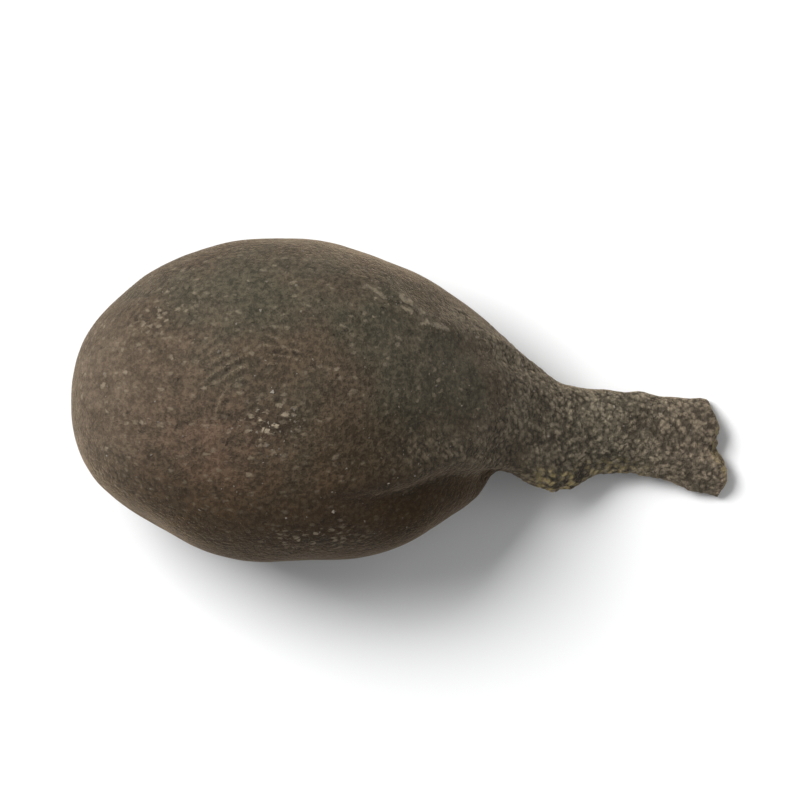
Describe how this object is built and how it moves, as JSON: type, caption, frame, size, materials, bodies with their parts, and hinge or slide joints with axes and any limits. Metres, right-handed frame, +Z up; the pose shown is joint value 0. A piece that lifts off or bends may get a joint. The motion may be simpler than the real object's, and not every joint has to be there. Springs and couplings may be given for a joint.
{
  "type": "dried bladderwrack air bladder with frond stub",
  "caption": "Dried seaweed float: a leathery, egg-shaped air bladder that narrows through a pleated neck into a flat stub of frond with a broken end.",
  "frame": {"origin": "middle of the bounding box's base, on the surface that the piece lies on", "axes": "+X along the piece, from the blunt end of the bladder to the broken end of the frond; +Y across it; +Z up"},
  "size_m": [0.03, 0.0148, 0.0124],
  "materials": {
    "dried_skin": "matte"
  },
  "bodies": {
    "root": {"bladder_with_frond_stub": "dried_skin"}
  },
  "joints": []
}
